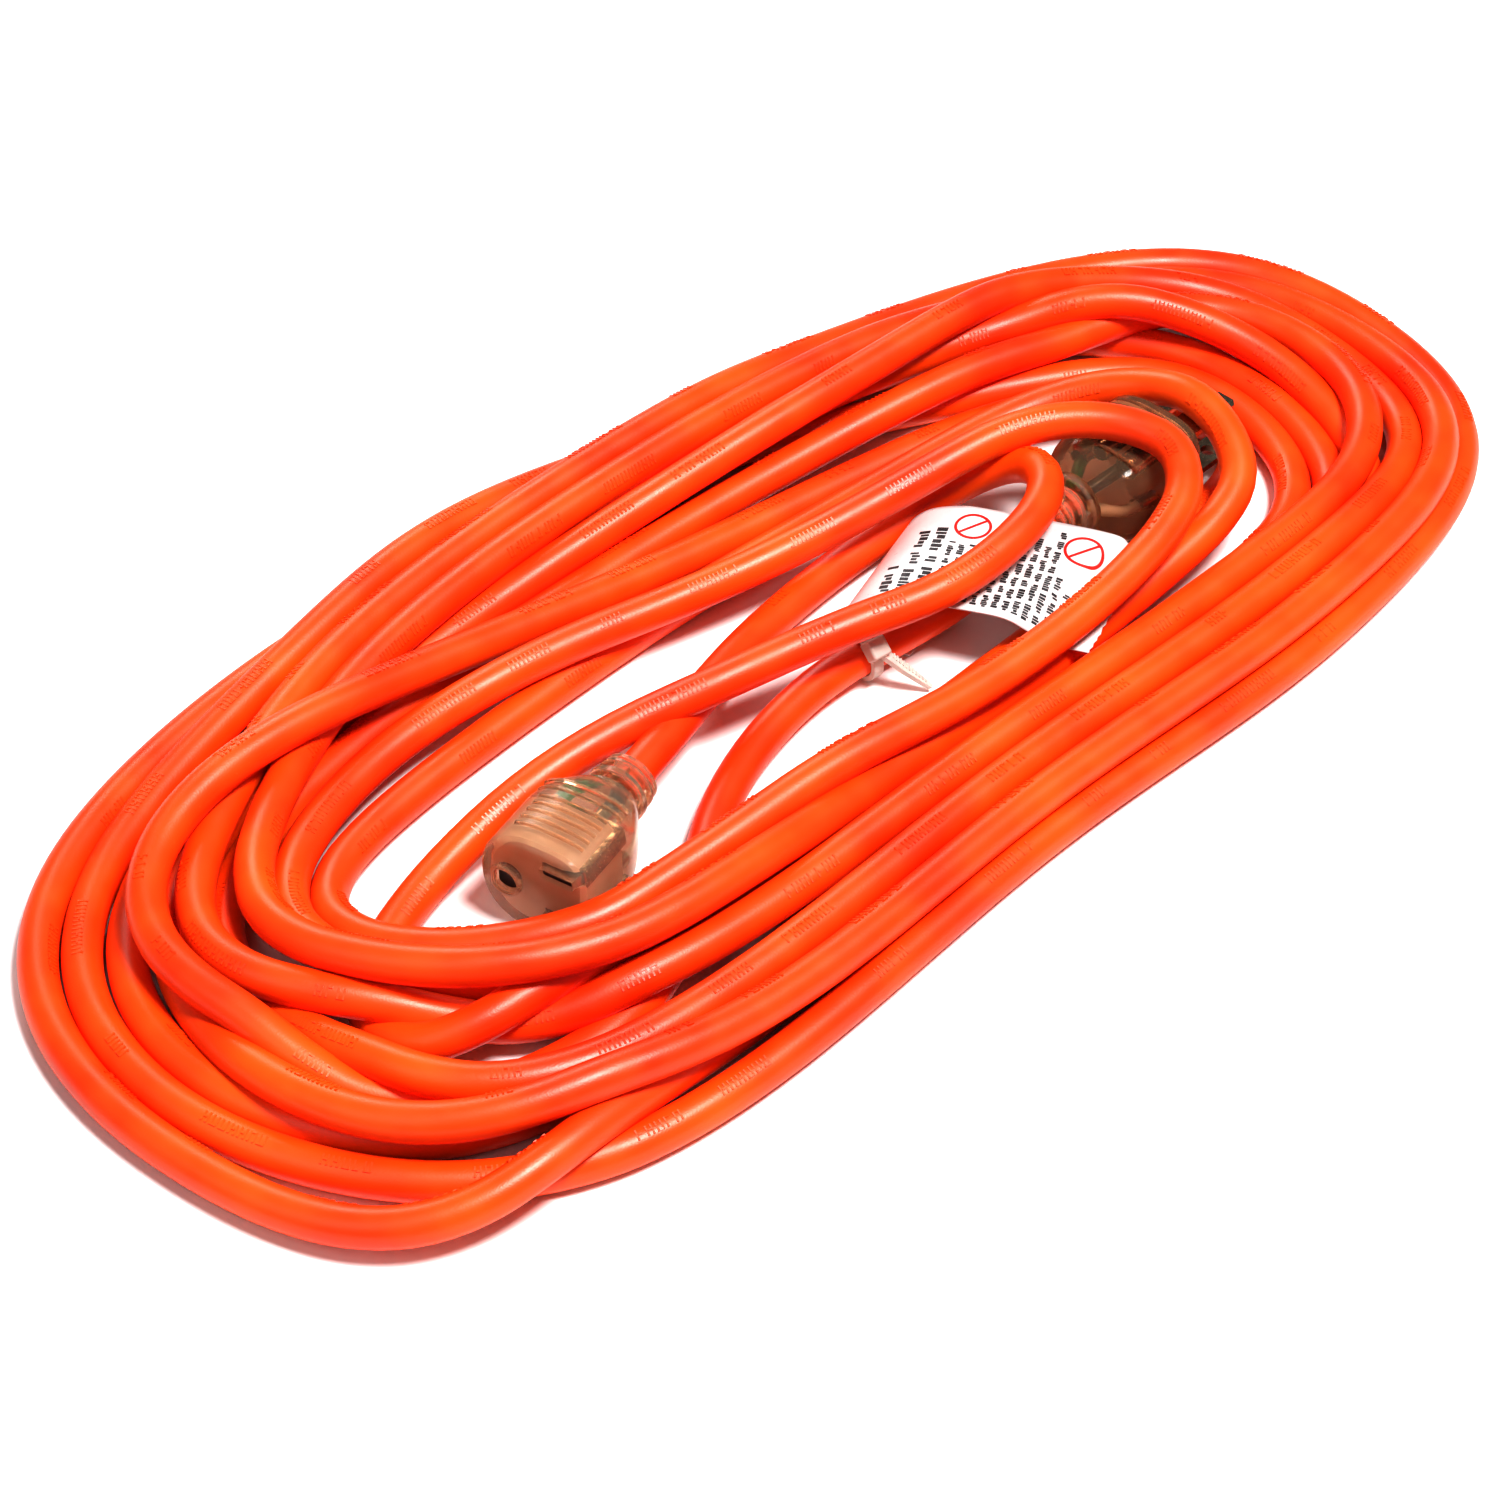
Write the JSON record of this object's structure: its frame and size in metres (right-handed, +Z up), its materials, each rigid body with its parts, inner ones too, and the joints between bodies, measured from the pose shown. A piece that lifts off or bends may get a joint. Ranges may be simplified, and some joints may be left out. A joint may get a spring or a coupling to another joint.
{
  "type": "extension cord",
  "caption": "Grounded outdoor extension cord wound into a loose oval hank, with a moulded plug, a moulded connector, a flag label and a cable tie.",
  "frame": {"origin": "middle of the hank on the surface it lies on", "axes": "+X along the hank's long axis, +Z up"},
  "size_m": [0.356, 0.17, 0.032],
  "materials": {
    "jacket": "soft satin flexible PVC",
    "moulding": "translucent, smooth, slightly amber",
    "pole": "bright, lightly handled",
    "copper": "bare stranded copper",
    "carrier": "rigid inner bridge, matt",
    "core_black": "insulation, satin",
    "core_white": "insulation, satin",
    "core_green": "insulation, satin",
    "label": "laminated film, semi-gloss",
    "nylon": "natural nylon, slightly cloudy"
  },
  "bodies": {
    "cord": {"cord_hank": "jacket", "connector_cord": "jacket", "plug_cord": "jacket", "flag_label": "label", "plug_body": "moulding", "plug_strain_relief": "moulding", "plug_jacket_end": "jacket", "plug_blade_carrier": "carrier", "plug_line_blade": "pole", "plug_neutral_blade": "pole", "plug_ground_pin": "pole", "plug_line_wire": "core_black", "plug_neutral_wire": "core_white", "plug_ground_wire": "core_green", "plug_copper_strands": "copper", "connector_body": "moulding", "connector_strain_relief": "moulding", "connector_jacket_end": "jacket", "connector_contact_carrier": "carrier", "connector_line_contact": "pole", "connector_neutral_contact": "pole", "connector_ground_contact": "pole", "connector_line_wire": "core_black", "connector_neutral_wire": "core_white", "connector_ground_wire": "core_green", "connector_copper_strands": "copper"},
    "tie": {"cable_tie": "nylon"}
  },
  "joints": [
    {"name": "cable_tie_turn", "type": "hinge", "parent": "cord", "child": "tie", "pos_m": [0.011, -0.0047, 0.0057], "axis": [-0.9999, 0.0111, -0.0111], "range_deg": [0, 35]}
  ]
}
